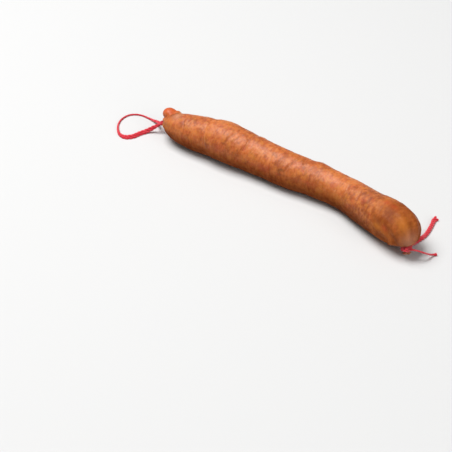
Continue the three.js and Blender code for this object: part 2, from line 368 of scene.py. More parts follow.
def axes_at(s, x):
    """The way the middle line heads at s, as the axes of its section there."""
    end = end_of(s)
    turned = way_of(s) * dome_share(s) ** end.late
    probe = 0.5

    def slope(line):
        return math.atan((line(x + probe) - line(x - probe)) / (2 * probe))

    yaw = slope(sideways_at) + math.radians(end.swing) * turned
    pitch = slope(height_at) - math.radians(end.drop) * turned
    out = (math.cos(pitch) * math.cos(yaw), math.cos(pitch) * math.sin(yaw), math.sin(pitch))
    side = (-math.sin(yaw), math.cos(yaw), 0.0)
    up = (-math.sin(pitch) * math.cos(yaw), -math.sin(pitch) * math.sin(yaw), math.cos(pitch))
    return out, side, up


def tip_of(end):
    return HALF_LENGTH + NECK_LENGTH + end.tail


def walk(way):
    """The middle line from the middle of the roll to one tip: rows of place, out, side and up."""
    place = np.array([0.0, sideways_at(0), height_at(0)])
    rows = []
    for i in range(int((tip_of(end_of(way)) + WALK_STEP) / WALK_STEP) + 1):
        out, side, up = axes_at(way * i * WALK_STEP, place[0])
        rows.append(np.concatenate([place, out, side, up]))
        place = place + way * WALK_STEP * np.array(out)
    return np.array(rows)


WALKED = {way: walk(way) for way in (-1, 1)}


def station_at(s):
    """Place, out, side and up of the middle line at s, in millimetres."""
    rows = WALKED[way_of(s)]
    at = min(abs(s) / WALK_STEP, len(rows) - WALK_MARGIN)
    low = int(at)
    row = rows[low] + (at - low) * (rows[low + 1] - rows[low])
    return row[0:3], row[3:6], row[6:9], row[9:12]


def radius_at(s):
    end = end_of(s)
    past = abs(s) - HALF_LENGTH
    if past <= 0:
        rounded = math.sqrt(max(0.0, 1 - dome_share(s) ** end.full))
        return NECK_RADIUS + (full_radius(station_at(s)[0][0]) - NECK_RADIUS) * rounded
    if past <= NECK_LENGTH:
        return NECK_RADIUS
    share = (past - NECK_LENGTH) / end.tail
    flared = NECK_RADIUS + (TAIL_RADIUS - NECK_RADIUS) * smooth(clamp01(share / TAIL_OPEN))
    closed = math.sqrt(max(0.0, 1 - clamp01((share - TAIL_OPEN) / (1 - TAIL_OPEN)) ** 2))
    return flared * (TAIL_TIP + (1 - TAIL_TIP) * closed)


def angle_between(a, b):
    return np.arctan2(np.sin(a - b), np.cos(a - b))


def lumps_at(s, turns, radius):
    """Height of the lumps of fat and meat, spread over the roll by two irrational steps."""
    height = np.zeros_like(turns)
    for i in range(LUMPS):
        at = (((0.5 + i * STEP_ALONG) % 1) * 2 - 1) * (HALF_LENGTH - LUMP_MARGIN)
        middle = TURN * ((i * STEP_ROUND) % 1)
        tall = DENT if i % 3 == 2 else LUMP_TALL[0] + LUMP_TALL[1] * ((i * STEP_TALL) % 1)
        size = LUMP_SIZE * (LUMP_WIDE[0] + LUMP_WIDE[1] * ((i * STEP_WIDE) % 1))
        along = (s - at) / size
        across = angle_between(turns, middle) * radius / size
        height += LUMP_HEIGHT * tall * np.exp(-along * along - across * across)
    return height


def share_of(s, turns, radius, spot, edge=1):
    """How strongly a form or a spot acts on each point of a ring, from 1 at its middle to 0 past its edge."""
    along = (s - spot.at) / spot.long
    across = angle_between(turns, math.radians(spot.turn)) * max(radius, THINNEST) / spot.wide
    return np.exp(-((along * along + across * across) ** edge))


def pleats_at(s, turns):
    """Puckers at a neck and folds of the tail of casing past it, as a share of the radius."""
    past = abs(s) - HALF_LENGTH
    if past <= NECK_LENGTH:
        strength = math.exp(-((max(0.0, -past) / PLEAT_REACH) ** PLEAT_FADE))
        wave = np.cos(PLEATS * turns + PLEAT_UNEVEN * np.sin(2 * turns))
        return -PLEAT_DEPTH * strength * (0.5 + 0.5 * wave)
    opened = smooth(clamp01((past - NECK_LENGTH) / end_of(s).tail))
    return -PLEAT_DEPTH + opened * TAIL_FOLD_DEPTH * np.cos(TAIL_FOLDS * turns)


def creases_at(s, turns):
    """Depth of the pressed creases, each with a low lip on both sides."""
    depth = np.zeros_like(turns)
    for crease in CREASES:
        angle = angle_between(turns, math.radians(crease.turn))
        fade = np.exp(-((angle / math.radians(crease.reach)) ** CREASE_FADE))
        away = (s - crease.at - crease.slant * angle) / crease.width
        lips = LIP_HEIGHT * np.exp(-((away / LIP_WIDTH) ** 2))
        depth -= crease.depth * fade * (np.exp(-away * away) - lips)
    return depth


def lobed(points, s):
    """Points of the casing pushed out to the folded lobe wherever it stands proud of them."""
    lobe = FOLDED_LOBE
    if abs(s - lobe.at) > LOBE_REACH * lobe.long:
        return points
    root, out, side, up = station_at(lobe.at)
    turn = math.radians(lobe.turn)
    spoke = math.cos(turn) * side + math.sin(turn) * up
    across = np.cross(spoke, out)
    squash = np.stack([out / lobe.long, across / lobe.wide, spoke / lobe.tall])
    away = points - root
    reach = np.linalg.norm(away, axis=1)
    ray = (away / reach[:, None]) @ squash.T
    start = squash @ (-lobe.off * spoke - lobe.lean * out)
    a = (ray * ray).sum(axis=1)
    b = ray @ start
    inside = b * b - a * (start @ start - 1)
    hit = np.where(inside > 0, (np.sqrt(np.maximum(inside, 0)) - b) / a, 0)
    apart = hit - reach
    soft = 0.5 * (apart + np.sqrt(apart * apart + lobe.blend ** 2))
    faded = smooth(clamp01(1 + apart / (LOBE_REACH * lobe.blend)))
    return points + (soft * faded / reach)[:, None] * away


def casing_ring(s, turns):
    """Points of the casing round the roll at s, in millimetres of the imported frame."""
    place, out, side, up = station_at(s)
    radius = radius_at(s)
    bodily = 1 - dome_share(s) ** LUMPS_FADE
    reach = radius * (1 + pleats_at(s, turns)) + bodily * lumps_at(s, turns, radius)
    lean = np.zeros_like(turns)
    if abs(s) < HALF_LENGTH:
        for form in FORMS:
            share = share_of(s, turns, radius, form, form.edge)
            reach += share * form.out
            lean += share * form.lean
        reach += creases_at(s, turns)
    spokes = np.cos(turns)[:, None] * side + np.sin(turns)[:, None] * up
    points = lobed(place + reach[:, None] * spokes + lean[:, None] * out, s)
    points[:, 2] = np.maximum(points[:, 2], 0.0)
    return points + CENTRE


def tie_frame(way):
    """A tie's own frame in millimetres: its middle on the neck, its Y axis along the neck outwards."""
    place, out, _, up = station_at(way * (HALF_LENGTH + NECK_LENGTH / 2))
    along = Vector(out) * way
    above = Vector(up)
    side = along.cross(above)
    turned = Matrix((side, along, above)).transposed().to_4x4()
    return Matrix.Translation(Vector(place + CENTRE)) @ turned


def smooth_route(points, step=0.5, finest=0.2):
    """A centripetal curve through the points, as evenly spaced places."""
    knots = [Vector(point) for point in points]
    knots = [2 * knots[0] - knots[1], *knots, 2 * knots[-1] - knots[-2]]
    dense = []
    for before, start, end, after in zip(knots, knots[1:], knots[2:], knots[3:]):
        gaps = [max((b - a).length ** 0.5, 1e-6) for a, b in ((before, start), (start, end), (end, after))]
        leave = (start - before) / gaps[0] - (end - before) / (gaps[0] + gaps[1]) + (end - start) / gaps[1]
        arrive = (end - start) / gaps[1] - (after - start) / (gaps[1] + gaps[2]) + (after - end) / gaps[2]
        leave *= gaps[1]
        arrive *= gaps[1]
        count = max(8, int((end - start).length / finest))
        for k in range(count):
            t = k / count
            bend = (2 * t ** 3 - 3 * t * t + 1) * start + (t ** 3 - 2 * t * t + t) * leave
            dense.append(bend + (3 * t * t - 2 * t ** 3) * end + (t ** 3 - t * t) * arrive)
    dense.append(knots[-2])
    run = np.array([tuple(p) for p in dense])
    length = np.concatenate([[0], np.cumsum(np.linalg.norm(np.diff(run, axis=0), axis=1))])
    places = np.linspace(0, length[-1], max(3, int(length[-1] / step) + 1))
    return np.stack([np.interp(places, length, run[:, k]) for k in range(3)], axis=1)


# Node trees

def plug(tree, socket, value):
    """Links a socket, or sets a plain value on it."""
    if isinstance(value, bpy.types.NodeSocket):
        tree.links.new(value, socket)
    else:
        socket.default_value = value


def add(tree, kind, inputs=None, **settings):
    """Adds a node with its settings and inputs, and returns it."""
    node = tree.nodes.new(kind)
    for name, value in settings.items():
        setattr(node, name, value)
    for socket, value in (inputs or {}).items():
        plug(tree, node.inputs[socket], value)
    return node


def calc(tree, operation, *values):
    """A math node's output."""
    node = add(tree, "ShaderNodeMath", operation=operation)
    for k, value in enumerate(values):
        plug(tree, node.inputs[k], value)
    return node.outputs[0]


def times(tree, *values):
    """The product of some numbers."""
    return reduce(lambda first, second: calc(tree, "MULTIPLY", first, second), values)


def plus(tree, *values):
    """The sum of some numbers."""
    return reduce(lambda first, second: calc(tree, "ADD", first, second), values)


def minus(tree, first, second):
    return calc(tree, "SUBTRACT", first, second)


def over(tree, first, second):
    return calc(tree, "DIVIDE", first, second)


def vector_calc(tree, operation, first, second):
    """A vector math node's output."""
    return add(tree, "ShaderNodeVectorMath", {0: first, 1: second}, operation=operation).outputs["Vector"]


def scaled(tree, vector, factor):
    """A vector times a number."""
    node = add(tree, "ShaderNodeVectorMath", {0: vector, "Scale": factor}, operation="SCALE")
    return node.outputs["Vector"]


def noise(tree, vector, scale=1.0, detail=2.0, rough=0.5, distort=0.0):
    """A noise texture's value."""
    node = add(tree, "ShaderNodeTexNoise", {"Vector": vector, "Scale": scale, "Detail": detail})
    plug(tree, node.inputs["Roughness"], rough)
    plug(tree, node.inputs["Distortion"], distort)
    return node.outputs[0]


def spread(tree, value, low, high, to_low=0.0, to_high=1.0, curve="SMOOTHSTEP"):
    """A value remapped from one range to another."""
    node = add(tree, "ShaderNodeMapRange", interpolation_type=curve)
    for k, number in enumerate((value, low, high, to_low, to_high)):
        plug(tree, node.inputs[k], number)
    return node.outputs[0]


def blend(tree, factor, first, second, mode="MIX"):
    """A colour between two colours."""
    node = add(tree, "ShaderNodeMix", data_type="RGBA", blend_type=mode)
    plug(tree, node.inputs["Factor"], factor)
    plug(tree, node.inputs[6], first)
    plug(tree, node.inputs[7], second)
    return node.outputs[2]


def named(tree, name, kind="FLOAT"):
    """A named attribute's value in a geometry tree."""
    node = add(tree, "GeometryNodeInputNamedAttribute", {"Name": name}, data_type=kind)
    return node.outputs[0]


def new_tree(name, kind, sockets, result):
    """A node group with its named inputs, each given as name, kind and default, and one output."""
    tree = bpy.data.node_groups.new(name, kind)
    for label, socket_kind, default in sockets:
        socket = tree.interface.new_socket(name=label, in_out="INPUT", socket_type="NodeSocket" + socket_kind)
        if default is not None:
            socket.default_value = default
    label, socket_kind = result
    tree.interface.new_socket(name=label, in_out="OUTPUT", socket_type="NodeSocket" + socket_kind)
    return tree, tree.nodes.new("NodeGroupInput").outputs, tree.nodes.new("NodeGroupOutput").inputs


def finish_tree(tree, geometry, material, leave):
    """Ends a tree in Realize Instances and Set Material."""
    real = add(tree, "GeometryNodeRealizeInstances", {"Geometry": geometry})
    dressed = add(tree, "GeometryNodeSetMaterial", {"Geometry": real.outputs[0], "Material": material})
    tree.links.new(dressed.outputs[0], leave["Geometry"])


def grow(piece, tree, values):
    """Runs a geometry tree on a piece and keeps the result as its plain mesh."""
    modifier = piece.modifiers.new(tree.name, "NODES")
    modifier.node_group = tree
    sockets = {item.name: item.identifier for item in tree.interface.items_tree if item.in_out == "INPUT"}
    for label, value in values.items():
        modifier[sockets[label]] = value
    graph = bpy.context.evaluated_depsgraph_get()
    grown = bpy.data.meshes.new_from_object(piece.evaluated_get(graph), depsgraph=graph)
    piece.modifiers.remove(modifier)
    piece.data = grown
    grown.name = piece.name
    if not grown.polygons:
        raise RuntimeError(tree.name + " made nothing of " + piece.name)
    return piece


def new_piece(name, points, edges=(), faces=()):
    """A mesh object from points in millimetres."""
    mesh = bpy.data.meshes.new(name)
    mesh.from_pydata((np.asarray(points) * MM).tolist(), edges, faces)
    piece = bpy.data.objects.new(name, mesh)
    bpy.context.scene.collection.objects.link(piece)
    return piece


def store(piece, name, values):
    """Keeps one number or one direction a point on a piece's mesh."""
    values = np.asarray(values, dtype=np.float32)
    kind, slot = ("FLOAT", "value") if values.ndim == 1 else ("FLOAT_VECTOR", "vector")
    attribute = piece.data.attributes.new(name, kind, "POINT")
    attribute.data.foreach_set(slot, values.ravel())


# Twine, with its lengths in metres

TWINE_STEP = 0.00045
PLY_SIDES = 12
WOBBLE_SCALE = 180.0
FIBRE_SHAPE = {
    "Start": (0.0, 0.0, -0.1),
    "Middle": (0.25, 0.1, 0.55),
    "End": (0.9, 0.3, 0.75),
    "Resolution": 4,
}
FIBRE_THICKNESS = {"Radius": 0.02, "Resolution": 3}
FIBRE_TILT = 0.7
FIBRE_SIZES = (0.35, 1.0)
LOWEST = 0.00005


def ply_offsets(tree, enter, index, along, loose):
    """How far a ply stands off the twine's middle line: round it, and flatter where it lies loose."""
    place = add(tree, "GeometryNodeInputPosition").outputs[0]
    whole = add(tree, "GeometryNodeSplineLength").outputs["Length"]
    tangent = add(tree, "GeometryNodeInputTangent").outputs[0]
    broad = named(tree, "broad", "FLOAT_VECTOR")
    square = vector_calc(tree, "CROSS_PRODUCT", tangent, broad)
    thin_side = add(tree, "ShaderNodeVectorMath", {0: square}, operation="NORMALIZE").outputs["Vector"]
    start = over(tree, index, enter["Plies"])
    twists = over(tree, along, enter["Pitch"])
    angle = times(tree, plus(tree, start, twists), TURN)
    wobble = noise(tree, scaled(tree, place, WOBBLE_SCALE))
    uneven = times(tree, minus(tree, wobble, 0.5), enter["Unevenness"])
    to_end = over(tree, minus(tree, whole, along), enter["Fray Length"])
    opened = times(tree, spread(tree, to_end, 1.0, 0.0), enter["Fray"])
    swell = plus(tree, 1.0, uneven, opened)
    stand = times(tree, enter["Diameter"], PLIES_APART, loose, swell)
    flat = times(tree, minus(tree, loose, FLAT_FROM), enter["Flatness"])
    wide = times(tree, stand, plus(tree, 1.0, flat), calc(tree, "COSINE", angle))
    thin = times(tree, stand, minus(tree, 1.0, flat), calc(tree, "SINE", angle))
    return vector_calc(tree, "ADD", scaled(tree, broad, wide), scaled(tree, thin_side, thin))


def remember(tree, geometry, name, value):
    """Stores a number on each point of a geometry."""
    node = add(tree, "GeometryNodeStoreNamedAttribute", {"Name": name}, data_type="FLOAT")
    plug(tree, node.inputs["Geometry"], geometry)
    plug(tree, node.inputs["Value"], value)
    return node.outputs[0]


def twisted_plies(tree, enter):
    """The plies, as tubes wound round each other along the path."""
    line = add(tree, "GeometryNodeMeshToCurve", {"Mesh": enter["Geometry"]}).outputs[0]
    even = add(tree, "GeometryNodeResampleCurve", {"Curve": line, "Length": TWINE_STEP}, mode="LENGTH")
    plies = add(tree, "GeometryNodeDuplicateElements", {"Amount": enter["Plies"]}, domain="SPLINE")
    plug(tree, plies.inputs["Geometry"], even.outputs[0])
    along = add(tree, "GeometryNodeSplineParameter").outputs["Length"]
    loose = named(tree, "loose")
    shift = ply_offsets(tree, enter, plies.outputs["Duplicate Index"], along, loose)
    laid = add(tree, "GeometryNodeSetPosition", {"Geometry": plies.outputs[0], "Offset": shift}).outputs[0]
    ring = add(tree, "GeometryNodeCurvePrimitiveCircle", {"Resolution": PLY_SIDES}, mode="RADIUS")
    plug(tree, ring.inputs["Radius"], enter["Diameter"])
    round_share = add(tree, "GeometryNodeSplineParameter").outputs["Factor"]
    return add(tree, "GeometryNodeCurveToMesh", {
        "Curve": remember(tree, laid, "along", along),
        "Profile Curve": remember(tree, ring.outputs[0], "round", round_share),
        "Scale": plus(tree, PLY_TIGHT, times(tree, loose, PLY_SWELL)),
        "Fill Caps": True,
    }).outputs[0]


def loose_fibres(tree, enter, strands):
    """Short bent fibres that stand off the plies."""
    rooted = add(tree, "GeometryNodeDistributePointsOnFaces", {"Mesh": strands})
    plug(tree, rooted.inputs["Density"], enter["Fibres"])
    plug(tree, rooted.inputs["Seed"], enter["Seed"])
    bent = add(tree, "GeometryNodeCurveQuadraticBezier", FIBRE_SHAPE).outputs[0]
    hair = add(tree, "GeometryNodeCurvePrimitiveCircle", FIBRE_THICKNESS, mode="RADIUS").outputs[0]
    fibre = add(tree, "GeometryNodeCurveToMesh", {"Curve": bent, "Profile Curve": hair, "Fill Caps": True})
    tilt = add(tree, "FunctionNodeRandomValue", {"Seed": enter["Seed"]}, data_type="FLOAT_VECTOR")
    tilt.inputs[0].default_value = (-FIBRE_TILT, -FIBRE_TILT, 0.0)
    tilt.inputs[1].default_value = (FIBRE_TILT, FIBRE_TILT, TURN)
    turned = add(tree, "FunctionNodeRotateEuler", {"Rotation": rooted.outputs["Rotation"]}, space="LOCAL")
    plug(tree, turned.inputs["Rotate By"], tilt.outputs[0])
    size = add(tree, "FunctionNodeRandomValue", data_type="FLOAT")
    size.inputs[2].default_value, size.inputs[3].default_value = FIBRE_SIZES
    return add(tree, "GeometryNodeInstanceOnPoints", {
        "Points": rooted.outputs["Points"],
        "Instance": fibre.outputs[0],
        "Rotation": turned.outputs[0],
        "Scale": times(tree, size.outputs[1], enter["Fibre Length"]),
    }).outputs[0]


def kept_above(tree, geometry):
    """A geometry with no point under the surface that it lies on."""
    place = add(tree, "GeometryNodeInputPosition").outputs[0]
    split = add(tree, "ShaderNodeSeparateXYZ", {"Vector": place}).outputs
    height = calc(tree, "MAXIMUM", split["Z"], LOWEST)
    above = add(tree, "ShaderNodeCombineXYZ", {"X": split["X"], "Y": split["Y"], "Z": height}).outputs[0]
    return add(tree, "GeometryNodeSetPosition", {"Geometry": geometry, "Position": above}).outputs[0]


def twine_tree():
    """Plies twisted together along a path, with loose fibres standing off them and cut ends that open."""
    tree, enter, leave = new_tree("Twisted twine", "GeometryNodeTree", (
        ("Geometry", "Geometry", None),
        ("Diameter", "Float", TWINE * MM),
        ("Plies", "Int", 3),
        ("Pitch", "Float", 0.0085),
        ("Flatness", "Float", FLATNESS),
        ("Unevenness", "Float", 0.12),
        ("Fray", "Float", 0.0),
        ("Fray Length", "Float", 0.005),
        ("Fibre Length", "Float", 0.0013),
        ("Fibres", "Float", 900000.0),
        ("Seed", "Int", 3),
        ("Material", "Material", None),
    ), ("Geometry", "Geometry"))
    strands = twisted_plies(tree, enter)
    soft = add(tree, "GeometryNodeSetShadeSmooth", {"Geometry": strands}).outputs[0]
    both = add(tree, "GeometryNodeJoinGeometry")
    plug(tree, both.inputs[0], soft)
    plug(tree, both.inputs[0], loose_fibres(tree, enter, strands))
    grown = add(tree, "GeometryNodeRealizeInstances", {"Geometry": both.outputs[0]}).outputs[0]
    finish_tree(tree, kept_above(tree, grown), enter["Material"], leave)
    return tree


def srgb(hexed):
    """A linear colour from its sRGB hex text."""
    parts = [int(hexed[k:k + 2], 16) / 255 for k in (0, 2, 4)]
    return tuple(p / 12.92 if p <= 0.04045 else ((p + 0.055) / 1.055) ** 2.4 for p in parts)


def colour_setting(name, description, default):
    """A colour that can be set."""
    return bpy.props.FloatVectorProperty(
        name=name, description=description, default=default, subtype="COLOR", min=0, max=1)


class TwineSettings(bpy.types.PropertyGroup):
    diameter: bpy.props.FloatProperty(
        name="Diameter", description="Thickness of the twine", default=TWINE * MM,
        subtype="DISTANCE", unit="LENGTH")
    pitch: bpy.props.FloatProperty(
        name="Pitch", description="Length of one full twist of the plies", default=0.0115, unit="LENGTH")
    plies: bpy.props.IntProperty(
        name="Plies", description="Yarns twisted together", default=3, min=2)
    fibre: bpy.props.FloatProperty(
        name="Fibre", description="Length of the loose fibres", default=0.001,
        subtype="DISTANCE", unit="LENGTH")
    fray: bpy.props.FloatProperty(
        name="Fray", description="How far a cut end opens", default=0.2, min=0.0)
    red: colour_setting("Red", "Dye of the cotton", srgb("DE2A3B"))
    faded: colour_setting("Faded", "Where the dye is thin", srgb("EE5F68"))
    # Painted shade between the yarns of the twist
    deep: colour_setting("Deep", "Between the plies", srgb("8A1020"))


class CasingSettings(bpy.types.PropertyGroup):
    rings: bpy.props.FloatProperty(
        name="Ring Step", description="Length between rings of the body", default=0.00072, unit="LENGTH")
    around: bpy.props.IntProperty(
        name="Around", description="Points round each ring", default=180, min=24)
    lump: bpy.props.FloatProperty(
        name="Grain Depth", description="Height of the coarse mince under the casing", default=GRAIN_DEPTH,
        unit="LENGTH")
    wrinkle: bpy.props.FloatProperty(
        name="Wrinkle Depth", description="Depth of the fine wrinkles across", default=WRINKLE_DEPTH,
        unit="LENGTH")
    meat: colour_setting("Meat", "Main colour of the casing", srgb("B65B24"))
    pale: colour_setting("Pale", "Pinkish, drier casing", srgb("CA773C"))
    brown: colour_setting("Brown", "Deeper, browner meat", srgb("843E13"))
    ochre: colour_setting("Ochre", "Paprika fat under the casing", srgb("C4762A"))
    ruddy: colour_setting("Ruddy", "Red meat under the casing", srgb("AE4423"))
    flush: colour_setting("Flush", "Orange meat pressed into the folded lobe", srgb("C6521E"))
    dry: colour_setting("Dry", "What the drier blunt end keeps of its colour", (0.98, 0.98, 0.97))
    # Painted shade: multiplied into the casing's colour towards the underside
    painted_shade: colour_setting("Shade", "What the damp underside keeps of its colour", (0.11, 0.03, 0.008))
    # Dark also gives the painted shade in the creases and under the lobe
    dark: colour_setting("Dark", "Spice and dark meat", srgb("5E280F"))
    veil: colour_setting("Veil", "Dry casing with no meat behind it", srgb("B98A72"))


class StudioSettings(bpy.types.PropertyGroup):
    floor: colour_setting("Floor", "Colour of the floor", (0.61, 0.61, 0.607))
    key: bpy.props.FloatProperty(
        name="Key Light", description="Large soft light", default=104.0, subtype="POWER")
    fill: bpy.props.FloatProperty(
        name="Fill Light", description="Weak light", default=28.0, subtype="POWER")
    sky: bpy.props.FloatProperty(
        name="Sky", description="Strength of the even light", default=0.22, min=0.0)


# Materials

# Patches of colour in the casing: how strong, how large in millimetres, the levels of the noise at which they
# begin and are full, its detail, where in the noise they are taken, and how stretched they are round the roll
Patch = namedtuple("Patch", "colour strength size low high detail shift squash")
PATCHES = (
    Patch("pale", 0.62, 14.0, 0.46, 0.66, 5.0, (0, 0, 0), 0.7),
    Patch("brown", 0.40, 14.0, 0.54, 0.34, 5.0, (0, 0, 0), 0.7),
    Patch("pale", 0.48, 5.0, 0.46, 0.66, 4.0, (3, 9, 4), 1.0),
    Patch("brown", 0.28, 5.0, 0.52, 0.34, 4.0, (3, 9, 4), 1.0),
    Patch("ochre", 0.45, 6.0, 0.50, 0.70, 3.0, (7, 1, 8), 1.0),
    Patch("ruddy", 0.40, 6.0, 0.50, 0.72, 3.0, (2, 6, 1), 1.0),
    Patch("pale", 0.30, 2.4, 0.48, 0.70, 3.0, (0, 0, 0), 0.4),
    Patch("dark", 0.24, 2.4, 0.50, 0.32, 3.0, (0, 0, 0), 0.4),
)
SPECKS = Patch("dark", 0.5, 1.3, 0.66, 0.77, 2.0, (9, 2, 3), 1.0)
DULL = Patch(None, 1.0, 7.0, 0.35, 0.70, 3.0, (4, 4, 9), 1.0)
DULL_ROUGHNESS = (0.40, 0.62)
FADED_YARN = Patch("faded", 0.6, 4.0, 0.40, 0.70, 3.0, (0, 0, 0), 1.0)

# How strongly each stored mark colours the casing: stains, and painted shade in the creases and under the lobe
STAINS_AND_SHADE = (
    ("ochre", "ochre", 0.5),
    ("ruddy", "ruddy", 0.5),
    ("flush", "flush", 0.8),
    ("crevice", "dark", 0.65),
    ("veil", "veil", 0.45),
)

# Where the casing changes towards the blunt end, in metres along the roll
BROWNING = (0.05, 0.13)
DRYING = (0.09, 0.13)
CALMING = (0.104, 0.126)
CALMED = (1.15, 0.38)  # the strength of the patches before and after that
PAINTED_SHADE_MOST = 0.7  # the most of the painted shade on the underside
PAINTED_SHADE_DRY = 0.08  # how much of that the dry end keeps
FINE_SQUASH = (1.0, 0.5, 0.5)
FINE_RANGE = (0.32, 0.68)
SHEEN = 0.78
SHEEN_ENDS = 0.5  # how far towards the underside it reaches
SHEEN_DRY = 0.20
SHEEN_BROKEN = (0.45, 1.25)  # how the finest wrinkles break the sheen up
BUMP_FINE = 0.00018
BUMP_GRAIN = 0.00016

YARNS_ROUND = 4.0
YARNS_A_METRE = 650.0
YARN_GROOVE_SHADE = 0.45
BUMP_YARN = 0.00012
BUMP_FIBRES = 0.00008


def mottle_group():
    """Cloudy spots in a surface: where a noise passes a level, as a mask."""
    tree, enter, leave = new_tree("Mottle", "ShaderNodeTree", (
        ("Vector", "Vector", None),
        ("Size", "Float", 5.0),
        ("Detail", "Float", 3.0),
        ("Low", "Float", 0.45),
        ("High", "Float", 0.65),
    ), ("Mask", "Float"))
    scale = over(tree, 1.0, enter["Size"])
    cloud = noise(tree, enter["Vector"], scale, enter["Detail"], rough=0.55, distort=0.3)
    plug(tree, leave["Mask"], spread(tree, cloud, enter["Low"], enter["High"]))
    return tree


def mottled(tree, group, place, patch):
    """The mask of one kind of patch, at its strength."""
    squash = (1.0, patch.squash, patch.squash)
    moved = add(tree, "ShaderNodeMapping", {"Vector": place, "Location": patch.shift, "Scale": squash})
    mask = add(tree, "ShaderNodeGroup", node_tree=group)
    plug(tree, mask.inputs["Vector"], moved.outputs[0])
    for name in ("Size", "Detail", "Low", "High"):
        mask.inputs[name].default_value = getattr(patch, name.lower())
    return times(tree, mask.outputs[0], patch.strength)


def new_material(name):
    """A material with its nodes, its Principled shader and its object coordinates in millimetres."""
    material = bpy.data.materials.new(name)
    material.use_nodes = True
    tree = material.node_tree
    shader = tree.nodes["Principled BSDF"]
    coordinates = add(tree, "ShaderNodeTexCoord").outputs["Object"]
    place = add(tree, "ShaderNodeMapping", {"Vector": coordinates, "Scale": (1 / MM, 1 / MM, 1 / MM)})
    return material, tree, shader, place.outputs[0]


def attribute(tree, name):
    return add(tree, "ShaderNodeAttribute", attribute_name=name).outputs["Fac"]


def opaque(colour):
    return (*colour, 1.0)


def set_values(shader, values):
    for name, value in values.items():
        shader.inputs[name].default_value = value


def bumped(tree, shader, *heights):
    """Adds up some heights in metres and bumps the surface by them."""
    relief = plus(tree, *(times(tree, value, tall) for value, tall in heights))
    bump = add(tree, "ShaderNodeBump", {"Height": relief, "Strength": 1.0, "Distance": 1.0})
    plug(tree, shader.inputs["Normal"], bump.outputs[0])


def casing_colour(tree, look, group, place, dried):
    """The meat that shows through the casing: patches, stains and painted crease shade, the drier end, and
    painted shade darker towards the underside.
    """
    along = attribute(tree, "along")
    bold = spread(tree, along, *CALMING, *CALMED)
    colour = blend(tree, spread(tree, along, *BROWNING), opaque(look.meat), opaque(look.brown))
    for patch in PATCHES:
        mask = times(tree, mottled(tree, group, place, patch), bold)
        colour = blend(tree, mask, colour, opaque(getattr(look, patch.colour)))
    for mark, stain_and_shade_colour, strength in STAINS_AND_SHADE:
        mask = times(tree, attribute(tree, mark), strength)
        colour = blend(tree, mask, colour, opaque(getattr(look, stain_and_shade_colour)))
    colour = blend(tree, mottled(tree, group, place, SPECKS), colour, opaque(look.dark))
    colour = blend(tree, dried, colour, opaque(look.dry), "MULTIPLY")
    # Painted shade: the colour is multiplied darker towards the underside, less so at the dry end
    low = calc(tree, "MINIMUM", attribute(tree, "under"), PAINTED_SHADE_MOST)
    low = times(tree, low, spread(tree, dried, 0.0, 1.0, 1.0, PAINTED_SHADE_DRY))
    return blend(tree, low, colour, opaque(look.painted_shade), "MULTIPLY")


def casing_roughness(tree, group, place, under):
    """Dull in patches, and duller towards the underside."""
    rough = spread(tree, mottled(tree, group, place, DULL), 0.0, 1.0, *DULL_ROUGHNESS, "LINEAR")
    return calc(tree, "MAXIMUM", rough, spread(tree, under, 0.0, 1.0, DULL_ROUGHNESS[0], 1.0, "LINEAR"))


def casing_sheen(tree, fine, under, dried):
    """A satin sheen on the upper side, broken up by the finest wrinkles, weaker on the dry end."""
    broken = spread(tree, fine, *FINE_RANGE, *SHEEN_BROKEN)
    upper = spread(tree, under, 0.0, SHEEN_ENDS, SHEEN, 0.0)
    return times(tree, broken, upper, spread(tree, dried, 0.0, 1.0, 1.0, SHEEN_DRY))


def casing_material(look, group):
    """Natural casing over coarse mince: mottled, lightly oiled, finely wrinkled."""
    material, tree, shader, place = new_material("Casing")
    under = attribute(tree, "under")
    dried = spread(tree, attribute(tree, "along"), *DRYING)
    stretched = add(tree, "ShaderNodeMapping", {"Vector": place, "Scale": FINE_SQUASH}).outputs[0]
    fine = noise(tree, stretched, scale=1.1, detail=4.0, rough=0.6, distort=0.4)
    grain = noise(tree, place, scale=2.6, detail=3.0, rough=0.6)
    plug(tree, shader.inputs["Base Color"], casing_colour(tree, look, group, place, dried))
    plug(tree, shader.inputs["Roughness"], casing_roughness(tree, group, place, under))
    plug(tree, shader.inputs["Coat Weight"], casing_sheen(tree, fine, under, dried))
    bumped(tree, shader, (fine, BUMP_FINE), (grain, BUMP_GRAIN))
    set_values(shader, {
        "Coat Roughness": 0.5,
        "Specular IOR Level": 0.06,
        "Specular Tint": (1.0, 0.86, 0.76, 1.0),
        "Subsurface Weight": 0.12,
        "Subsurface Scale": 0.0025,
        "Subsurface Radius": (1.0, 0.35, 0.15),
    })
    return material


def twine_material(look, group):
    """Dyed cotton yarn: painted shade between its fibres, unevenly faded, quite dull."""
    material, tree, shader, place = new_material("Red twine")
    turned = times(tree, attribute(tree, "round"), YARNS_ROUND)
    lay = plus(tree, turned, times(tree, attribute(tree, "along"), YARNS_A_METRE))
    yarn = spread(tree, calc(tree, "SINE", times(tree, lay, TURN)), -1.0, 1.0)
    # Painted shade in the grooves between the yarns
    groove_shade = times(tree, minus(tree, 1.0, yarn), YARN_GROOVE_SHADE)
    fibres = noise(tree, place, scale=6.0, detail=3.0, rough=0.6)
    colour = blend(tree, mottled(tree, group, place, FADED_YARN), opaque(look.red), opaque(look.faded))
    plug(tree, shader.inputs["Base Color"], blend(tree, groove_shade, colour, opaque(look.deep)))
    bumped(tree, shader, (yarn, BUMP_YARN), (fibres, BUMP_FIBRES))
    set_values(shader, {
        "Roughness": 0.88,
        "Specular IOR Level": 0.25,
        "Sheen Weight": 0.25,
        "Sheen Roughness": 0.5,
    })
    return material


def shared(name, maker):
    """A material or node group by its name, made the first time it is asked for."""
    for made in (bpy.data.materials, bpy.data.node_groups):
        if name in made:
            return made[name]
    return maker()


def mottle():
    return shared("Mottle", mottle_group)


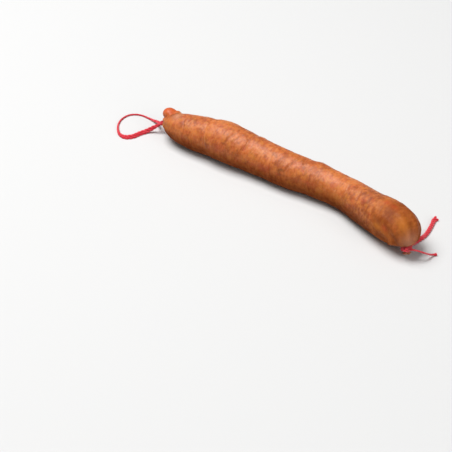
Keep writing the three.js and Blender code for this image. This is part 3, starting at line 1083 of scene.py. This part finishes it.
def red_twine():
    return shared("Red twine", lambda: twine_material(bpy.context.scene.sausage_twine, mottle()))


# Pieces of twine

def broad_sides(run, facing):
    """The way that the twine's broad side lies at each point: square to its run, facing a direction."""
    ahead = np.gradient(run, axis=0)
    broad = np.cross(ahead, facing)
    return broad / np.maximum(np.linalg.norm(broad, axis=1), 1e-9)[:, None]


def twine_piece(name, run, seed, broad, loose=1.0, frayed=False, diameter=None):
    """A length of twine along a run of points in millimetres."""
    look = bpy.context.scene.sausage_twine
    edges = [(k, k + 1) for k in range(len(run) - 1)]
    piece = new_piece(name, run, edges)
    store(piece, "broad", broad)
    store(piece, "loose", np.broadcast_to(loose, len(run)))
    grow(piece, shared("Twisted twine", twine_tree), {
        "Diameter": diameter or look.diameter,
        "Plies": look.plies,
        "Pitch": look.pitch,
        "Fray": look.fray if frayed else 0.0,
        "Fibre Length": look.fibre,
        "Seed": seed,
        "Material": red_twine(),
    })
    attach(piece, BODY)
    return piece


def half_height(loose):
    """How far loose twine reaches above and below its middle where it lies, in millimetres."""
    apart = PLIES_APART * loose * (1 - FLATNESS * (loose - FLAT_FROM))
    return TWINE * (apart + PLY_TIGHT + PLY_SWELL * loose)


def need_nodes(*names):
    missing = [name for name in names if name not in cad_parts]
    if missing:
        raise RuntimeError("the packed model has no " + ", ".join(missing))


def knot_middle(way, turn):
    """Where a knot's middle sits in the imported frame, in millimetres."""
    angle = math.radians(turn)
    return tie_frame(way) @ Vector((KNOT_REACH * math.cos(angle), 0.0, KNOT_REACH * math.sin(angle)))


def in_frame(route):
    """A route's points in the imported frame."""
    return [tuple(np.array(point) + CENTRE) for point in route]


class SAUSAGE_OT_lay_loose_twine(bpy.types.Operator):
    """Lay the hanging loop and the two cut ends of twine where they rest"""
    bl_idname = "sausage.lay_loose_twine"
    bl_label = "Lay Loose Twine"

    def execute(self, context):
        need_nodes("hang_loop", "end_tail_upper", "end_tail_lower")
        hang = tuple(knot_middle(-1, HANG_KNOT_TURN))
        end = tuple(knot_middle(1, END_KNOT_TURN))
        neck = tuple(tie_frame(1).translation)
        loop = in_frame(HANG_LOOP)
        upper = in_frame(UPPER_TAIL)
        lower = in_frame(LOWER_TAIL)
        self.lay("loose_loop", [hang, *loop, hang], HANG_LOOSE, "hang_loop", "object", seed=11)
        self.lay("loose_end_upper", [neck, *upper], UPPER_LOOSE, "end_tail_upper", "bare", seed=12)
        self.lay("loose_end_lower", [end, *lower], LOWER_LOOSE, "end_tail_lower", "bare", seed=13)
        return {"FINISHED"}

    def lay(self, name, points, loose, node, far_end, seed):
        run = smooth_route(points)
        at_points = np.cumsum([0.0, *(math.dist(a, b) for a, b in zip(points, points[1:]))])
        along = np.linspace(0, at_points[-1], len(run))
        slackness = np.interp(along, at_points, loose)
        lying = smooth(clamp01((LIFTED - run[:, 2]) / (LIFTED - TWINE)))
        run[:, 2] -= lying * (TWINE / 2 - half_height(slackness))
        piece = twine_piece(name, run, seed, broad_sides(run, FACING), slackness, frayed=far_end == "bare")
        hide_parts(node)
        path = [tuple(point * MM) for point in run[::PATH_EVERY]]
        if len(run) % PATH_EVERY != 1:
            path.append(tuple(run[-1] * MM))


class SAUSAGE_OT_tie_necks(bpy.types.Operator):
    """Wind the twine round both necks and tie its knots"""
    bl_idname = "sausage.tie_necks"
    bl_label = "Tie Necks"

    def execute(self, context):
        need_nodes("hang_wrap", "hang_knot", "end_wrap", "end_knot")
        ties = ((-1, "hang", HANG_KNOT_TURN, TAPERED_SEED), (1, "end", END_KNOT_TURN, BLUNT_SEED))
        for way, name, turn, seed in ties:
            run = self.turns(way, turn)
            neck = np.array(tie_frame(way).col[1][:3])
            wrap = twine_piece(name + "_turns", run, seed, np.tile(neck, (len(run), 1)), TIE_LOOSE)
            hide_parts(name + "_wrap")
            run = self.knot(way, turn)
            knot = twine_piece(name + "_tied_knot", run, seed + 1, broad_sides(run, FACING), TIE_LOOSE,
                               diameter=KNOT_TWINE * TWINE * MM)
            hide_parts(name + "_knot")
        return {"FINISHED"}

    def turns(self, way, turn):
        """Two and a bit turns side by side, leaving outwards to the knot at both ends."""
        place = tie_frame(way)
        points = []
        for share in np.linspace(-0.5, 0.5, TIE_POINTS):
            angle = math.radians(turn) + TURN * TIE_TURNS * share
            leaving = max(0.0, abs(share) - 0.5 + TIE_LEAVING) / TIE_LEAVING
            reach = NECK_RADIUS + TWINE / 2 + TIE_WANDER * math.sin(3 * angle) + TIE_RISE * leaving ** 2
            spoke = Vector((reach * math.cos(angle), share * TIE_SPACING, reach * math.sin(angle)))
            points.append(tuple(place @ spoke))
        return smooth_route(points)

    def knot(self, way, turn):
        """A tight overhand knot: a three-lobed path pressed into the knot's size."""
        across, along, deep = KNOT_SIZE
        turned = Matrix.Rotation(-math.radians(turn), 4, "Y")
        points = []
        for t in np.linspace(0, TURN, KNOT_POINTS + 1):
            lobe = Vector((
                KNOT_REACH - (deep - KNOT_SLACK) * math.sin(3 * t),
                (along - KNOT_SLACK) * (math.sin(t) + 2 * math.sin(2 * t)) / 3,
                (across - KNOT_SLACK) * (math.cos(t) - 2 * math.cos(2 * t)) / 3,
            ))
            points.append(tuple(tie_frame(way) @ (turned @ lobe)))
        return smooth_route(points, KNOT_STEP)


# The casing

WRINKLE_CORE = 0.09  # how near its level the noise is where a wrinkle is pressed in
WRINKLED_SCALE = 55.0
WRINKLED = (0.42, 0.62)


def grain_height(tree, enter, place):
    """The coarse mince under the casing, as low bumps."""
    finer = scaled(tree, place, over(tree, 1.0, enter["Grain Size"]))
    grain = minus(tree, noise(tree, finer, distort=0.4), 0.5)
    return times(tree, grain, times(tree, enter["Grain Depth"], 2.0))


def wrinkle_height(tree, enter, place):
    """Fine wrinkles across the roll, in patches, and everywhere near the ties."""
    split = add(tree, "ShaderNodeSeparateXYZ", {"Vector": place}).outputs
    across = add(tree, "ShaderNodeCombineXYZ", {
        "X": over(tree, named(tree, "along"), enter["Wrinkle Width"]),
        "Y": over(tree, split["Y"], enter["Wrinkle Length"]),
        "Z": over(tree, split["Z"], enter["Wrinkle Length"]),
    }).outputs[0]
    level = noise(tree, across, scale=0.5, distort=0.6)
    folded = calc(tree, "ABSOLUTE", minus(tree, level, 0.5))
    ridge = spread(tree, folded, 0.0, WRINKLE_CORE)
    patchy = spread(tree, noise(tree, scaled(tree, place, WRINKLED_SCALE)), *WRINKLED)
    most = calc(tree, "MAXIMUM", patchy, named(tree, "slack"))
    depth = times(tree, enter["Wrinkle Depth"], most)
    return times(tree, minus(tree, ridge, 1.0), depth)


def relief_tree():
    """Coarse mince and fine wrinkles raised on the casing, faded out where it is pressed flat."""
    tree, enter, leave = new_tree("Casing relief", "GeometryNodeTree", (
        ("Geometry", "Geometry", None),
        ("Grain Depth", "Float", GRAIN_DEPTH),
        ("Grain Size", "Float", GRAIN_SIZE),
        ("Wrinkle Depth", "Float", WRINKLE_DEPTH),
        ("Wrinkle Length", "Float", WRINKLE_LENGTH),
        ("Wrinkle Width", "Float", WRINKLE_WIDTH),
        ("Material", "Material", None),
    ), ("Geometry", "Geometry"))
    place = add(tree, "GeometryNodeInputPosition").outputs[0]
    normal = add(tree, "GeometryNodeInputNormal").outputs[0]
    both = plus(tree, grain_height(tree, enter, place), wrinkle_height(tree, enter, place))
    height = times(tree, both, named(tree, "free"))
    shift = scaled(tree, normal, height)
    raised = add(tree, "GeometryNodeSetPosition", {"Geometry": enter["Geometry"], "Offset": shift}).outputs[0]
    soft = add(tree, "GeometryNodeSetShadeSmooth", {"Geometry": raised}).outputs[0]
    finish_tree(tree, soft, enter["Material"], leave)
    return tree


DOME_RINGS = 1.7  # how many more rings a dome has than as long a stretch of the body
DOME_MORE = 12
DOME_CROWDING = 1.6
NECK_RINGS = 8
TAIL_RINGS = 12


def ring_places(end, step):
    """Where the rings of one half of the roll are, closer together over the dome."""
    dome = HALF_LENGTH - end.dome
    neck = HALF_LENGTH + NECK_LENGTH
    body = np.arange(step / 2, dome, step)
    count = int(DOME_RINGS * end.dome / step) + DOME_MORE
    domed = HALF_LENGTH - end.dome * ((count - np.arange(count)) / count) ** DOME_CROWDING
    necks = np.linspace(HALF_LENGTH, neck, NECK_RINGS, endpoint=False)
    tails = np.linspace(neck, tip_of(end), TAIL_RINGS)
    return np.concatenate([body, domed, necks, tails])


def ring_mark(s, turns, radius):
    """The dark ring round the dimple."""
    along = s - DIMPLE.at
    across = angle_between(turns, math.radians(DIMPLE.turn)) * radius
    away = (np.hypot(along / RING_OVAL, across) - RING_RADIUS) / RING_WIDTH
    turned = 0.5 + 0.5 * np.cos(np.arctan2(across, along) - RING_BOLD)
    return (RING_FAINT + (1 - RING_FAINT) * turned) * np.exp(-away * away)


def strength_of(spots, s, turns, radius):
    """The strongest of a list of soft spots on each point of a ring."""
    return np.max([share_of(s, turns, radius, spot) for spot in spots], axis=0)


class SAUSAGE_OT_fill_casing(bpy.types.Operator):
    """Fill the casing: the roll of meat with its puckered ends, folds and wrinkles"""
    bl_idname = "sausage.fill_casing"
    bl_label = "Fill Casing"

    def execute(self, context):
        need_nodes("cured_sausage")
        look = context.scene.sausage_casing
        step = look.rings / MM
        places = [*(-s for s in ring_places(TAPERED, step)[::-1]), *ring_places(BLUNT, step)]
        turns = np.linspace(0, TURN, look.around, endpoint=False)
        rings = [casing_ring(s, turns) for s in places]
        tips = [station_at(s)[0] + CENTRE for s in (places[0], places[-1])]
        points = np.concatenate([*rings, np.array(tips)])
        piece = new_piece("sausage_in_casing", points, faces=self.faces(len(places), look.around))
        self.mark(piece, places, turns, points)
        grow(piece, relief_tree(), {
            "Grain Depth": look.lump,
            "Wrinkle Depth": look.wrinkle,
            "Material": shared("Casing", lambda: casing_material(look, mottle())),
        })
        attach(piece, BODY)
        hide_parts("cured_sausage")
        return {"FINISHED"}

    def faces(self, rings, around):
        """Quads between the rings, outside out, and a fan of triangles to the point at each tip."""
        row, column = np.meshgrid(np.arange(rings - 1), np.arange(around), indexing="ij")
        here = row * around + column
        after = row * around + (column + 1) % around
        quads = np.stack([here, after, after + around, here + around], -1)
        first = rings * around
        last = (rings - 1) * around
        caps = []
        for k in range(around):
            after = (k + 1) % around
            caps.append((first, after, k))
            caps.append((first + 1, last + k, last + after))
        return quads.reshape(-1, 4).tolist() + caps

    def mark(self, piece, places, turns, points):
        """Numbers for the material and the relief, one a point."""
        marks = [self.marks_at(s, turns, radius_at(s)) for s in places]
        for name in marks[0]:
            rows = [ring[name] for ring in marks]
            store(piece, name, [*np.concatenate(rows), rows[0][0], rows[-1][0]])
        heights = points[:, 2]
        free = (heights - PRESSED_HEIGHT) / (FREE_HEIGHT - PRESSED_HEIGHT)
        store(piece, "free", smooth(clamp01(free)))
        # Higher towards the bottom: paints shade into the casing's colour, and makes it duller with no sheen
        store(piece, "under", 1 - smooth(clamp01(heights / UNDER_HEIGHT)))

    def marks_at(self, s, turns, radius):
        """The numbers of one ring: its place along the roll, its stains, the painted shade of its creases and
        the dark ring, and how slack it is.
        """
        dry_from, dry_over = TIE_DRY
        dry = smooth(clamp01((abs(s) - HALF_LENGTH + dry_from) / dry_over))
        # Painted shadow under the lobe, and painted shade in the creases, darker the deeper they are
        crevice = strength_of(LOBE_SHADOW_SPOTS, s, turns, radius)
        if abs(s) < HALF_LENGTH:
            crevice = np.maximum(crevice, clamp01(-creases_at(s, turns)))
        return {
            "along": np.full_like(turns, s * MM),
            "ochre": strength_of(OCHRE_SPOTS, s, turns, radius),
            "ruddy": strength_of(RUDDY_SPOTS, s, turns, radius),
            "flush": strength_of(FLUSH_SPOTS, s, turns, radius),
            "veil": np.maximum(strength_of(VEIL_SPOTS, s, turns, radius), dry),
            "crevice": np.maximum(crevice, ring_mark(s, turns, radius)),
            "slack": np.full_like(turns, dome_share(s) ** SLACK_LATE),
        }


# The studio

KEY_PLACE = (-1.0, -0.3, 2.5)
FILL_PLACE = (2.4, -0.5, 1.1)
LIGHT_SIZE = 1.8
FLOOR_HALF = 4000.0


def area_light(name, place, power):
    """A square soft light aimed at the sausage."""
    data = bpy.data.lights.new(name, "AREA")
    data.size = LIGHT_SIZE
    data.energy = power
    lamp = bpy.data.objects.new(name, data)
    lamp.location = place
    lamp.rotation_euler = Vector(place).to_track_quat("Z", "Y").to_euler()
    bpy.context.scene.collection.objects.link(lamp)


class SAUSAGE_OT_set_studio(bpy.types.Operator):
    """Set the camera, the soft lights and the pale floor"""
    bl_idname = "sausage.set_studio"
    bl_label = "Set Studio"

    def execute(self, context):
        look = context.scene.sausage_studio
        self.camera(context)
        area_light("key", KEY_PLACE, look.key)
        area_light("fill", FILL_PLACE, look.fill)
        self.sky(context, look)
        self.floor(look)
        return {"FINISHED"}

    def camera(self, context):
        azimuth = math.radians(VIEW_AZIMUTH)
        elevation = math.radians(VIEW_ELEVATION)
        back = Vector((
            math.cos(elevation) * math.sin(azimuth),
            -math.cos(elevation) * math.cos(azimuth),
            math.sin(elevation),
        ))
        data = bpy.data.cameras.new("view")
        data.lens = VIEW_LENS
        data.sensor_width = SENSOR_WIDTH
        data.clip_end = CLIP_END
        camera = bpy.data.objects.new("view", data)
        camera.location = Vector(VIEW_AIM) + back * VIEW_DISTANCE
        camera.rotation_euler = back.to_track_quat("Z", "Y").to_euler()
        context.scene.collection.objects.link(camera)
        context.scene.camera = camera

    def sky(self, context, look):
        world = bpy.data.worlds.new("even light")
        world.use_nodes = True
        light = world.node_tree.nodes["Background"]
        light.inputs["Color"].default_value = (1.0, 1.0, 1.0, 1.0)
        light.inputs["Strength"].default_value = look.sky
        context.scene.world = world
        context.scene.view_settings.view_transform = "Standard"

    def floor(self, look):
        material = bpy.data.materials.new("Pale floor")
        material.use_nodes = True
        set_values(material.node_tree.nodes["Principled BSDF"], {
            "Base Color": opaque(look.floor),
            "Roughness": 0.8,
            "Specular IOR Level": 0.1,
        })
        half = FLOOR_HALF
        corners = [(-half, -half, 0), (half, -half, 0), (half, half, 0), (-half, half, 0)]
        floor = new_piece("pale_floor", corners, faces=[(0, 1, 2, 3)])
        floor.data.materials.append(material)


class SAUSAGE_PT_maker(bpy.types.Panel):
    """The steps that make the sausage, and its sizes and colours"""
    bl_label = "Cured Sausage"
    bl_idname = "SAUSAGE_PT_maker"
    bl_space_type = "VIEW_3D"
    bl_region_type = "UI"
    bl_category = "Sausage"

    def draw(self, context):
        for step in STEPS:
            self.layout.operator(step.bl_idname)
        for group in SETTINGS:
            box = self.layout.box()
            for name in SETTINGS[group].__annotations__:
                box.prop(getattr(context.scene, group), name)


STEPS = (SAUSAGE_OT_set_studio, SAUSAGE_OT_lay_loose_twine, SAUSAGE_OT_tie_necks, SAUSAGE_OT_fill_casing)
SETTINGS = {
    "sausage_casing": CasingSettings,
    "sausage_twine": TwineSettings,
    "sausage_studio": StudioSettings,
}
CLASSES = (*SETTINGS.values(), *STEPS, SAUSAGE_PT_maker)


def register():
    for kind in CLASSES:
        bpy.utils.register_class(kind)
    for name, kind in SETTINGS.items():
        setattr(bpy.types.Scene, name, bpy.props.PointerProperty(type=kind))


def unregister():
    for name in SETTINGS:
        delattr(bpy.types.Scene, name)
    for kind in reversed(CLASSES):
        bpy.utils.unregister_class(kind)


def main():
    register()
    bpy.ops.sausage.set_studio()
    bpy.ops.sausage.lay_loose_twine()
    bpy.ops.sausage.tie_necks()
    bpy.ops.sausage.fill_casing()


if __name__ == "__main__":
    main()
